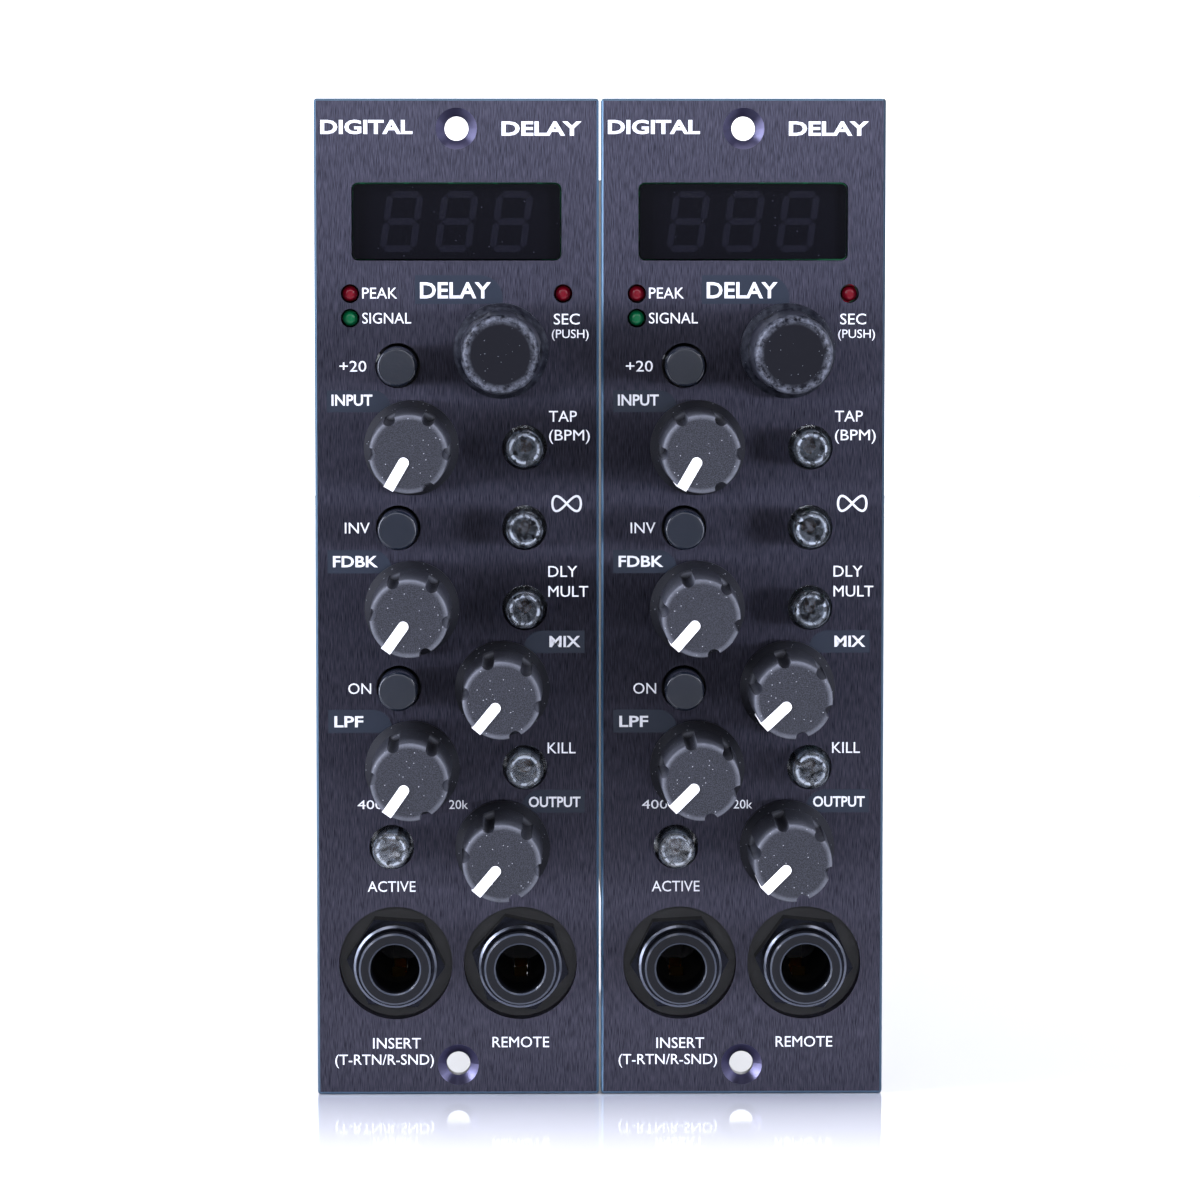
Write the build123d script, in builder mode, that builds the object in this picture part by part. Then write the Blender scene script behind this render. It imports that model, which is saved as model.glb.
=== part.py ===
from build123d import *
import math
import os

# A pair of single-width rack delay modules, side by side as they hang in a module rack.
# Millimetres. +X is the viewer's right, +Z is up, and the fronts face -Y.
# Y = 0 is the rear face of the front panels, which lies against the rack's rails.
# X = 0 is midway between the two modules and Z = 0 is their mid height.

os.makedirs("parts", exist_ok=True)

# ---------- rack format ----------
slot_pitch = 38.1
panel_gap = 0.3
panel_height = 133.35
panel_thickness = 3.0
panel_corner = 0.4
panel_edge_chamfer = 0.3
rack_hole_inset = 3.975
rack_hole_radius = 1.6
countersink_radius = 2.75

# ---------- control layout, measured from a module's centre ----------
row_pitch = 10.72
first_row = 20.4
knob_column = -6.05
far_knob_column = 6.0
latch_column = -7.85
tap_column = 9.0
active_column = -8.85
encoder_x = 5.9
encoder_z = 33.3
boost_z = 31.3
display_z = 50.4
lamp_x = 14.15
upper_lamp_z = 40.85
lower_lamp_z = 37.6
jack_x = 8.35
jack_z = -48.9

# ---------- chassis and boards ----------
sheet = 1.2
chassis_left = -17.5
flange_right = 17.5
flange_below_holes = 4.7
side_inset = 2.0
chassis_depth = 146.0
lip_width = 8.0
lip_start = 30.0
board_thickness = 1.6
control_board_y = 11.0
control_board_left = -15.7
control_board_right = 17.2
control_board_bottom = -39.8
control_board_top = 57.4
main_board_gap = 6.0
main_board_overhang = 2.0
main_board_inset = 2.0
jack_notch_depth = 12.9
jack_notch_top = -38.0
tongue_length = 10.0
tongue_half_height = 31.0
tongue_corner = 1.0

# ---------- display and lamps ----------
window_width = 27.9
window_height = 10.35
window_corner = 0.9
window_recess = 1.0
pane_thickness = 3.0
pane_gap = 0.2
display_width = 22.6
display_height = 10.0
lamp_radius = 1.05
lamp_foot_radius = 1.5
lamp_foot_height = 3.0
lamp_recess = 0.4
lamp_gap = 0.2

# ---------- turned controls ----------
knob_height = 17.0
knob_gap = 0.4
skirt_radius = 6.325
skirt_edge = 0.7
skirt_height = 2.2
knob_foot_radius = 5.4
knob_top_radius = 5.15
knob_crown = 0.5
flute_radius = 0.85
flute_count = 6
knob_bore_depth = 11.0
shaft_radius = 3.0
press_gap = 0.02
running_gap = 0.05
pot_width = 9.7
pot_height = 11.3
pot_depth = 6.8
collar_wall = 0.45
collar_front = 1.0
collar_gap = 0.15
pot_floor = 1.5
encoder_width = 12.0
encoder_height = 13.0
encoder_depth = 6.5
encoder_gap = 1.0
encoder_crown = 1.1
encoder_push = 0.5
scallop_radius = 4.0
scallop_depth = 0.3
spindle_radius = 1.0
spindle_length = 3.0
plunger_thickness = 1.4
encoder_floor = 0.6

# ---------- push buttons ----------
button_gap = 0.4
flange_hole_gap = 0.3
latch_cap_radius = 2.6
latch_cap_height = 5.5
latch_cap_crown = 0.35
latch_travel = 2.0
latch_stem_radius = 1.5
latch_stem_grip = 5.4
latch_body = 7.0
latch_body_depth = 7.0
latch_cap_clearance = 0.4
tap_cap_radius = 2.45
tap_cap_height = 4.0
tap_cap_edge = 0.15
tap_hollow_radius = 1.7
tap_face = 0.9
tap_travel = 0.4
tap_overtravel = 0.1
tap_collar_radius = 3.6
tap_collar = 0.8
tap_collar_gap = 0.4
tap_body = 6.8
tap_body_depth = 5.5
tap_cup_depth = 3.0
glow_radius = 1.0
glow_height = 9.0

# ---------- jacks ----------
plug_radius = 3.3
jack_chamber_gap = 0.3
bushing_wall = 1.5
bushing_proud = 5.6
bushing_edge = 0.25
mouth_chamfer = 0.2
nut_wall = 0.925
nut_proud = 0.35
nut_collar_wall = 0.75
nut_clearance = 1.0
nut_collar_proud = 3.4
nut_edge = 0.3
jack_width = 15.6
jack_height = 14.6
jack_depth = 22.8
jack_end_wall = 1.0
contact_width = 1.7
contact_sheet = 0.4
contact_slot_gap = 0.25
contact_reach = 0.7
contact_rise = 1.6
front_contact_y = 10.0
rear_contact_y = 18.0
rear_contact_drop = 1.6
contact_spacing = 1.0
pin_past_board = 1.2
jack_board_half_width = 16.2
jack_board_half_height = 8.4

# ---------- fixings ----------
stud_radius = 1.25
stud_depth = 1.6
stud_x = 13.2
upper_stud_z = 32.5
lower_stud_z = -38.6
panel_nut_flats = 5.0
panel_nut_height = 2.0
stud_past_nut = 0.6
standoff_radius = 2.2
screw_radius = 1.2
tapped_radius = 1.25
screw_hole_radius = 1.4
screw_head_radius = 2.2
screw_head_height = 1.6
screw_reach = 4.5
control_fixings = [(-13.5, 20.4), (-13.5, -22.6), (14.7, 27.0), (14.7, -28.0)]
upper_fixing_y = 38.0
lower_fixing_y = 46.0
main_fixing_inset = 8.0
rear_fixing_inset = 10.0

# ---------- board connectors and components ----------
pin_pitch = 2.54
pin_size = 0.64
pins_per_header = 10
pins_per_jack_header = 4
header_body = 2.5
pin_reach = 6.0
socket_length = 8.5
header_gap = 0.5
socket_slot = 0.9
socket_wall = 0.5
connector_offset = 1.3
upper_connector_z = 27.0
lower_connector_z = -12.0
jack_connector_rise = 1.2
capacitor_radius = 4.0
capacitor_height = 10.5
relay_size = (14.0, 9.0, 9.5)

# ---------- derived ----------
panel_width = slot_pitch - panel_gap
rack_hole_spacing = panel_height - 2 * rack_hole_inset
flange_half_height = rack_hole_spacing / 2 - flange_below_holes
side_half_height = flange_half_height - side_inset
main_board_half_height = side_half_height - main_board_inset
main_board_rear = chassis_depth + main_board_overhang
collar_radius = shaft_radius + collar_wall
button_hole_radius = latch_cap_radius + button_gap
jack_chamber_radius = plug_radius + jack_chamber_gap
bushing_radius = plug_radius + bushing_wall
nut_across_flats = 2 * (bushing_radius + nut_wall)
nut_corner_radius = nut_across_flats / math.sqrt(3)
nut_collar_radius = bushing_radius + nut_collar_wall
jack_hole_radius = nut_corner_radius + nut_clearance
contact_slot_width = contact_width + 2 * contact_slot_gap
contact_crest = plug_radius - contact_reach
rear_contact_floor = plug_radius + rear_contact_drop
front_contact_floor = rear_contact_floor + contact_spacing
contact_slot_depth = front_contact_floor + contact_sheet
main_fixing_z = main_board_half_height - main_fixing_inset
rear_fixing_y = main_board_rear - rear_fixing_inset
main_fixings = [
    (upper_fixing_y, main_fixing_z),
    (lower_fixing_y, -main_fixing_z),
    (rear_fixing_y, main_fixing_z),
    (rear_fixing_y, -main_fixing_z),
]
module_centres = {"left": -slot_pitch / 2, "right": slot_pitch / 2}
rows = [first_row - row_pitch * step for step in range(6)]
pot_places = {
    "input": (knob_column, rows[0]),
    "feedback": (knob_column, rows[2]),
    "mix": (far_knob_column, rows[3]),
    "filter": (knob_column, rows[4]),
    "output": (far_knob_column, rows[5]),
}
latch_places = {
    "boost": (latch_column, boost_z),
    "invert": (latch_column, rows[1]),
    "on": (latch_column, rows[3]),
}
tap_places = {
    "tap": (tap_column, rows[0]),
    "hold": (tap_column, rows[1]),
    "multiply": (tap_column, rows[2]),
    "kill": (tap_column, rows[4]),
    "active": (active_column, rows[5]),
}
# How far round from straight down each pointer stands at rest, clockwise seen from the front.
pointer_angles = {
    "left": {"input": 30, "feedback": 35.5, "filter": 35, "mix": 39.5, "output": 40},
    "right": {"input": 30, "feedback": 41, "filter": 45, "mix": 47, "output": 45},
}
nut_angles = {"left": (4, 12), "right": (-3, 6)}
red_lamp_places = [(-lamp_x, upper_lamp_z), (lamp_x, upper_lamp_z)]
green_lamp_places = [(-lamp_x, lower_lamp_z)]
jack_places = [(-jack_x, jack_z), (jack_x, jack_z)]
stud_places = [(side * stud_x, z) for side in (-1, 1) for z in (upper_stud_z, lower_stud_z)]

panel_front = -panel_thickness
main_board_left = chassis_left + sheet + main_board_gap
main_board_face = main_board_left + board_thickness
control_board_rear = control_board_y + board_thickness
main_board_front = control_board_rear + socket_length + header_gap
jack_rear = sheet + jack_depth
jack_board_rear = jack_rear + board_thickness
connector_x = main_board_face + connector_offset


def at_depth(y):
    """A front-facing plane at depth y: local x is +X, local y is +Z, and it looks towards -Y."""
    return Plane.XZ.offset(-y)


def places(centre, spots):
    return [(centre + x, z) for x, z in spots]


def all_places(spots):
    return [spot for centre in module_centres.values() for spot in places(centre, spots)]


def axle(x, z):
    return Axis((x, 0, z), (0, 1, 0))


def round_from(front, rear, radius, spots, mode=Mode.ADD):
    """Cylinders along Y from the front depth to the rear depth, one at each (x, z)."""
    with BuildSketch(at_depth(front)) as circles:
        with Locations(*spots):
            Circle(radius)
    extrude(circles.sketch, amount=front - rear, mode=mode)


def block_from(front, rear, width, height, spots, mode=Mode.ADD):
    """Blocks along Y from the front depth to the rear depth, one at each (x, z)."""
    with BuildSketch(at_depth(front)) as rectangles:
        with Locations(*spots):
            Rectangle(width, height)
    extrude(rectangles.sketch, amount=front - rear, mode=mode)


def keep(piece, name):
    piece.part.label = name
    export_step(piece.part, f"parts/{name}.step")


def build_front_panel(side, centre):
    """Anodised aluminium plate with every control opening and two countersunk rack holes."""
    rack_holes = places(centre, [(0, rack_hole_spacing / 2), (0, -rack_hole_spacing / 2)])
    pots = places(centre, list(pot_places.values()) + [(encoder_x, encoder_z)])
    buttons = places(centre, list(latch_places.values()) + list(tap_places.values()))
    lamps = places(centre, red_lamp_places + green_lamp_places)
    with BuildPart() as front_panel:
        with BuildSketch(at_depth(panel_front)):
            with Locations((centre, 0)):
                RectangleRounded(panel_width, panel_height, panel_corner)
        extrude(amount=-panel_thickness)
        chamfer(front_panel.faces().sort_by(Axis.Y)[0].outer_wire().edges(), panel_edge_chamfer)
        with BuildSketch(at_depth(panel_front)):
            with Locations((centre, display_z)):
                RectangleRounded(window_width, window_height, window_corner)
        extrude(amount=-panel_thickness, mode=Mode.SUBTRACT)
        round_from(panel_front, 0, rack_hole_radius, rack_holes, Mode.SUBTRACT)
        rims = front_panel.edges().filter_by(GeomType.CIRCLE).group_by(Axis.Y)[0]
        rims = rims.filter_by(lambda rim: abs(rim.radius - rack_hole_radius) < 0.01)
        chamfer(rims, countersink_radius - rack_hole_radius)
        round_from(panel_front, 0, collar_radius + collar_gap, pots, Mode.SUBTRACT)
        round_from(panel_front, 0, button_hole_radius, buttons, Mode.SUBTRACT)
        round_from(panel_front, 0, lamp_radius + lamp_gap, lamps, Mode.SUBTRACT)
        round_from(panel_front, 0, jack_hole_radius, places(centre, jack_places), Mode.SUBTRACT)
        round_from(-stud_depth, 0, stud_radius, places(centre, stud_places), Mode.SUBTRACT)
    keep(front_panel, f"{side}_front_panel")


def build_chassis(side, centre):
    """Folded steel sheet: a front flange that carries the jacks, a side plate and two lips."""
    pots = places(centre, list(pot_places.values()) + [(encoder_x, encoder_z)])
    buttons = places(centre, list(latch_places.values()) + list(tap_places.values()))
    lamps = places(centre, red_lamp_places + green_lamp_places)
    side_x = centre + chassis_left
    with BuildPart() as chassis:
        with BuildSketch(at_depth(0)):
            with Locations((centre + (chassis_left + flange_right) / 2, 0)):
                Rectangle(flange_right - chassis_left, 2 * flange_half_height)
        extrude(amount=-sheet)
        with BuildSketch(Plane.YZ.offset(side_x)):
            with Locations((chassis_depth / 2, 0)):
                Rectangle(chassis_depth, 2 * side_half_height)
        extrude(amount=sheet)
        for lip_z in (side_half_height, sheet - side_half_height):
            with BuildSketch(Plane.XY.offset(lip_z)):
                with Locations((side_x + lip_width / 2, (lip_start + chassis_depth) / 2)):
                    Rectangle(lip_width, chassis_depth - lip_start)
            extrude(amount=-sheet)
        with BuildSketch(at_depth(0)):
            with Locations((centre, display_z)):
                Rectangle(window_width, window_height)
        extrude(amount=-sheet, mode=Mode.SUBTRACT)
        round_from(0, sheet, collar_radius + collar_gap, pots, Mode.SUBTRACT)
        round_from(0, sheet, button_hole_radius + flange_hole_gap, buttons, Mode.SUBTRACT)
        round_from(0, sheet, lamp_radius + lamp_gap, lamps, Mode.SUBTRACT)
        round_from(0, sheet, bushing_radius + running_gap, places(centre, jack_places), Mode.SUBTRACT)
        round_from(0, sheet, stud_radius + running_gap, places(centre, stud_places), Mode.SUBTRACT)
        clinched = standoff_radius + press_gap
        round_from(0, sheet, clinched, places(centre, control_fixings), Mode.SUBTRACT)
        with BuildSketch(Plane.YZ.offset(side_x)):
            with Locations(*main_fixings):
                Circle(clinched)
        extrude(amount=sheet, mode=Mode.SUBTRACT)
        outer_bend = chassis.edges().filter_by(Axis.Z).group_by(Axis.X)[0].group_by(Axis.Y)[0]
        fillet(outer_bend, sheet * 0.9)
    keep(chassis, f"{side}_chassis")


def build_control_board(side, centre):
    """Printed circuit board behind the panel, which carries the pots, switches and display."""
    with BuildPart() as control_board:
        with BuildSketch(at_depth(control_board_y)):
            with Locations(
                (
                    centre + (control_board_left + control_board_right) / 2,
                    (control_board_bottom + control_board_top) / 2,
                )
            ):
                Rectangle(
                    control_board_right - control_board_left,
                    control_board_top - control_board_bottom,
                )
        extrude(amount=-board_thickness)
        round_from(
            control_board_y,
            control_board_rear,
            screw_hole_radius,
            places(centre, control_fixings),
            Mode.SUBTRACT,
        )
    keep(control_board, f"{side}_control_board")


def build_main_board(side, centre):
    """Main circuit board along the side plate, with the rack's card-edge tongue at its rear."""
    with BuildPart() as main_board:
        with BuildSketch(Plane.YZ.offset(centre + main_board_left)) as outline:
            with Locations(((main_board_front + main_board_rear) / 2, 0)):
                Rectangle(main_board_rear - main_board_front, 2 * main_board_half_height)
            with Locations((main_board_rear + tongue_length / 2, 0)):
                Rectangle(tongue_length, 2 * tongue_half_height)
            with Locations(
                (
                    main_board_front + jack_notch_depth / 2,
                    (jack_notch_top - main_board_half_height) / 2,
                )
            ):
                Rectangle(
                    jack_notch_depth,
                    jack_notch_top + main_board_half_height,
                    mode=Mode.SUBTRACT,
                )
            chamfer(outline.vertices().group_by(Axis.Y)[-1], tongue_corner)
            with Locations(*main_fixings):
                Circle(screw_hole_radius, mode=Mode.SUBTRACT)
        extrude(amount=board_thickness)
    keep(main_board, f"{side}_main_board")


def build_pot_knob(side, centre, name):
    """Soft-touch knob with grip flutes and, as a second solid, the pot shaft it is pushed on."""
    x = centre + pot_places[name][0]
    z = pot_places[name][1]
    foot = panel_front - knob_gap
    crown = panel_front - knob_height
    with BuildPart() as knob:
        with BuildSketch(Plane(origin=(x, 0, z))):
            with BuildLine():
                Polyline(
                    (0, foot),
                    (skirt_radius, foot),
                    (skirt_radius, foot - skirt_edge),
                    (knob_foot_radius, foot - skirt_height),
                    (knob_top_radius, crown),
                    (0, crown),
                    close=True,
                )
            make_face()
        revolve(axis=axle(x, z))
        fillet(knob.edges().group_by(Axis.Y)[0], knob_crown)
        pointer = math.radians(180 + pointer_angles[side][name])
        turns = [pointer + math.tau * step / flute_count for step in range(1, flute_count)]
        flutes = [
            (x + knob_top_radius * math.sin(turn), z + knob_top_radius * math.cos(turn))
            for turn in turns
        ]
        round_from(crown, foot - skirt_height, flute_radius, flutes, Mode.SUBTRACT)
        bore_end = foot - knob_bore_depth
        round_from(bore_end, foot, shaft_radius + press_gap, [(x, z)], Mode.SUBTRACT)
        shaft_rear = control_board_y - pot_floor - running_gap
        round_from(bore_end + press_gap, shaft_rear, shaft_radius, [(x, z)])
    keep(knob, f"{side}_{name}_knob")


def build_delay_knob(side, centre):
    """Endless knob with a round shoulder and shallow scallops, and its shaft."""
    x = centre + encoder_x
    z = encoder_z
    foot = panel_front - encoder_gap
    crown = panel_front - knob_height
    plunger_front = control_board_y - encoder_floor - encoder_push - plunger_thickness
    with BuildPart() as delay_knob:
        with BuildSketch(Plane(origin=(x, 0, z))):
            with BuildLine():
                Polyline(
                    (0, foot),
                    (skirt_radius, foot),
                    (skirt_radius, foot - skirt_edge),
                    (knob_foot_radius, foot - skirt_height),
                    (knob_top_radius, crown),
                    (0, crown),
                    close=True,
                )
            make_face()
        revolve(axis=axle(x, z))
        fillet(delay_knob.edges().group_by(Axis.Y)[0], encoder_crown)
        reach = knob_foot_radius + scallop_radius - scallop_depth
        turns = [math.tau * (step + 0.5) / flute_count for step in range(flute_count)]
        scallops = [(x + reach * math.sin(turn), z + reach * math.cos(turn)) for turn in turns]
        round_from(crown, foot - skirt_height, scallop_radius, scallops, Mode.SUBTRACT)
        bore_end = foot - knob_bore_depth
        round_from(bore_end, foot, shaft_radius + press_gap, [(x, z)], Mode.SUBTRACT)
        round_from(bore_end + press_gap, plunger_front - running_gap, shaft_radius, [(x, z)])
        round_from(
            plunger_front - spindle_length - running_gap,
            plunger_front - running_gap,
            spindle_radius + running_gap,
            [(x, z)],
            Mode.SUBTRACT,
        )
    keep(delay_knob, f"{side}_delay_knob")


def build_encoder_plunger(side, centre):
    """Disc under the encoder's shaft: it works the push switch, and the shaft turns on its pin."""
    spot = [(centre + encoder_x, encoder_z)]
    rear = control_board_y - encoder_floor - encoder_push
    front = rear - plunger_thickness
    with BuildPart() as plunger:
        round_from(front, rear, shaft_radius, spot)
        round_from(front - spindle_length, front, spindle_radius, spot)
    keep(plunger, f"{side}_encoder_plunger")


def build_latch_button(side, centre, name):
    """Black domed cap and, as a second solid, the switch plunger that it is pushed on."""
    spot = [(centre + latch_places[name][0], latch_places[name][1])]
    cap_front = panel_front - latch_cap_height
    switch_front = control_board_y - latch_body_depth
    cap_rear = switch_front - latch_travel - latch_cap_clearance
    bore_end = cap_rear - latch_stem_grip
    with BuildPart() as button:
        round_from(cap_front, cap_rear, latch_cap_radius, spot)
        fillet(button.edges().group_by(Axis.Y)[0], latch_cap_crown)
        round_from(bore_end, cap_rear, latch_stem_radius + press_gap, spot, Mode.SUBTRACT)
        round_from(bore_end + press_gap, switch_front + latch_stem_grip - latch_travel, latch_stem_radius, spot)
    keep(button, f"{side}_{name}_button")


def build_tap_button(side, centre, name):
    """Clear acrylic cap, hollow behind its face, kept in by a collar behind the flange."""
    spot = [(centre + tap_places[name][0], tap_places[name][1])]
    cap_front = panel_front - tap_cap_height
    cup_floor = control_board_y - tap_body_depth + tap_cup_depth
    cap_rear = cup_floor - tap_travel - tap_overtravel
    with BuildPart() as button:
        round_from(cap_front, cap_rear, tap_cap_radius, spot)
        chamfer(button.edges().group_by(Axis.Y)[0], tap_cap_edge)
        collar_front_y = sheet + tap_collar_gap
        round_from(collar_front_y, collar_front_y + tap_collar, tap_collar_radius, spot)
        round_from(cap_front + tap_face, cap_rear, tap_hollow_radius, spot, Mode.SUBTRACT)
    keep(button, f"{side}_{name}_button")


def build_display():
    """Smoked panes set into the panels, and the three-digit blocks behind them."""
    spots = all_places([(0, display_z)])
    pane_front = panel_front + window_recess
    with BuildPart() as panes:
        with BuildSketch(at_depth(pane_front)):
            with Locations(*spots):
                RectangleRounded(
                    window_width - 2 * pane_gap,
                    window_height - 2 * pane_gap,
                    window_corner - pane_gap,
                )
        extrude(amount=-pane_thickness)
    keep(panes, "display_windows")
    with BuildPart() as blocks:
        block_from(pane_front + pane_thickness, control_board_y, display_width, display_height, spots)
    keep(blocks, "display_blocks")


def build_lamps(name, spots):
    """Small round-nosed lamps standing on the control board, their noses just inside the panel."""
    nose = panel_front + lamp_recess
    foot = control_board_y - lamp_foot_height
    with BuildPart() as lamps:
        round_from(nose, foot, lamp_radius, spots)
        fillet(lamps.edges().group_by(Axis.Y)[0], lamp_radius * 0.6)
        round_from(foot, control_board_y, lamp_foot_radius, spots)
    keep(lamps, name)


def build_button_lamps():
    """Lamps that stand on the switches inside the clear buttons."""
    spots = all_places(tap_places.values())
    cup_floor = control_board_y - tap_body_depth + tap_cup_depth
    with BuildPart() as lamps:
        round_from(cup_floor - glow_height, cup_floor, glow_radius, spots)
        fillet(lamps.edges().group_by(Axis.Y)[0], glow_radius * 0.6)
    keep(lamps, "button_lamps")


def build_switches():
    """Pot bodies, encoder bodies and the two kinds of push switch, all on the control board."""
    spots = all_places(pot_places.values())
    with BuildPart() as pots:
        front = control_board_y - pot_depth
        block_from(front, control_board_y, pot_width, pot_height, spots)
        round_from(-collar_front, front, collar_radius, spots)
        floor = control_board_y - pot_floor
        round_from(-collar_front, floor, shaft_radius + running_gap, spots, Mode.SUBTRACT)
    keep(pots, "pot_bodies")

    spots = all_places([(encoder_x, encoder_z)])
    with BuildPart() as encoders:
        front = control_board_y - encoder_depth
        block_from(front, control_board_y, encoder_width, encoder_height, spots)
        round_from(-collar_front, front, collar_radius, spots)
        floor = control_board_y - encoder_floor
        round_from(-collar_front, floor, shaft_radius + running_gap, spots, Mode.SUBTRACT)
    keep(encoders, "encoder_bodies")

    spots = all_places(latch_places.values())
    with BuildPart() as latches:
        front = control_board_y - latch_body_depth
        block_from(front, control_board_y, latch_body, latch_body, spots)
        floor = front + latch_stem_grip + tap_overtravel
        round_from(front, floor, latch_stem_radius + running_gap, spots, Mode.SUBTRACT)
    keep(latches, "latching_switches")

    spots = all_places(tap_places.values())
    with BuildPart() as taps:
        front = control_board_y - tap_body_depth
        block_from(front, control_board_y, tap_body, tap_body, spots)
        round_from(front, front + tap_cup_depth, tap_cap_radius + running_gap, spots, Mode.SUBTRACT)
    keep(taps, "tact_switches")


def build_jack_housings():
    """Moulded jack bodies, each with its threaded bushing and open contact slot."""
    spots = all_places(jack_places)
    with BuildPart() as housings:
        block_from(sheet, jack_rear, jack_width, jack_height, spots)
        round_from(panel_front - bushing_proud, sheet, bushing_radius, spots)
        chamfer(housings.edges().group_by(Axis.Y)[0], bushing_edge)
        round_from(panel_front - bushing_proud, sheet, plug_radius, spots, Mode.SUBTRACT)
        rims = housings.edges().filter_by(GeomType.CIRCLE).group_by(Axis.Y)[0]
        chamfer(rims.filter_by(lambda rim: abs(rim.radius - plug_radius) < 0.01), mouth_chamfer)
        chamber_rear = jack_rear - jack_end_wall
        round_from(sheet, chamber_rear, jack_chamber_radius, spots, Mode.SUBTRACT)
        slot_front = front_contact_y - contact_rise
        slots = [(x, z - contact_slot_depth / 2) for x, z in spots]
        block_from(slot_front, jack_rear, contact_slot_width, contact_slot_depth, slots, Mode.SUBTRACT)
    keep(housings, "jack_housings")


def build_jack_nuts():
    """Hexagon nuts with a round collar, which clamp the bushings to the flange."""
    with BuildPart() as nuts:
        for side, centre in module_centres.items():
            for (x, z), turn in zip(places(centre, jack_places), nut_angles[side]):
                with BuildSketch(at_depth(panel_front - nut_proud)):
                    with Locations(Location((x, z), -turn)):
                        RegularPolygon(nut_corner_radius, 6)
                extrude(amount=-(panel_thickness + nut_proud))
        spots = all_places(jack_places)
        round_from(panel_front - nut_collar_proud, 0, nut_collar_radius, spots)
        chamfer(nuts.edges().group_by(Axis.Y)[0], nut_edge)
        round_from(
            panel_front - nut_collar_proud,
            0,
            bushing_radius + running_gap,
            spots,
            Mode.SUBTRACT,
        )
    keep(nuts, "jack_nuts")


def build_contacts():
    """Sprung brass contact strips in the floor of each jack, with a pin through the jack board."""
    pin_end = jack_board_rear + pin_past_board
    with BuildPart() as contacts:
        for x, z in all_places(jack_places):
            for crest_y, floor in (
                (front_contact_y, front_contact_floor),
                (rear_contact_y, rear_contact_floor),
            ):
                with BuildSketch(Plane.YZ.offset(x - contact_width / 2)):
                    with BuildLine():
                        Polyline(
                            (crest_y, z - contact_crest),
                            (crest_y + contact_rise, z - floor),
                            (pin_end, z - floor),
                            (pin_end, z - floor + contact_sheet),
                            (crest_y + contact_rise + contact_sheet, z - floor + contact_sheet),
                            (crest_y + contact_sheet, z - contact_crest),
                            close=True,
                        )
                    make_face()
                extrude(amount=contact_width)
    keep(contacts, "jack_contacts")


def build_jack_boards():
    """Small circuit boards behind the jacks, with a slot for each contact pin."""
    with BuildPart() as boards:
        for centre in module_centres.values():
            block_from(
                jack_rear,
                jack_board_rear,
                2 * jack_board_half_width,
                2 * jack_board_half_height,
                [(centre, jack_z)],
            )
        for floor in (front_contact_floor, rear_contact_floor):
            slots = [(x, z - floor + contact_sheet / 2) for x, z in all_places(jack_places)]
            block_from(
                jack_rear,
                jack_board_rear,
                contact_width + 2 * running_gap,
                contact_sheet + 2 * running_gap,
                slots,
                Mode.SUBTRACT,
            )
    keep(boards, "jack_boards")


def build_connectors():
    """Pin headers on the main boards and the sockets that they plug into."""
    joints = [
        (control_board_rear, upper_connector_z),
        (control_board_rear, lower_connector_z),
        (jack_board_rear, jack_z + jack_connector_rise),
    ]
    counts = [pins_per_header, pins_per_header, pins_per_jack_header]
    with BuildPart() as sockets:
        for centre in module_centres.values():
            for (front, z), count in zip(joints, counts):
                spot = [(centre + connector_x, z)]
                block_from(front, front + socket_length, 2 * connector_offset, count * pin_pitch, spot)
                block_from(
                    front + socket_length - pin_reach - socket_wall,
                    front + socket_length,
                    socket_slot,
                    count * pin_pitch - 2 * socket_wall,
                    spot,
                    Mode.SUBTRACT,
                )
    keep(sockets, "board_sockets")
    with BuildPart() as headers:
        for centre in module_centres.values():
            for (front, z), count in zip(joints, counts):
                body_front = front + socket_length + header_gap + running_gap
                block_from(
                    body_front,
                    body_front + header_body,
                    2 * connector_offset,
                    count * pin_pitch,
                    [(centre + connector_x, z)],
                )
                pins = [
                    (centre + connector_x, z + pin_pitch * (step - (count - 1) / 2))
                    for step in range(count)
                ]
                block_from(body_front - pin_reach, body_front, pin_size, pin_size, pins)
    keep(headers, "board_headers")


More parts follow.
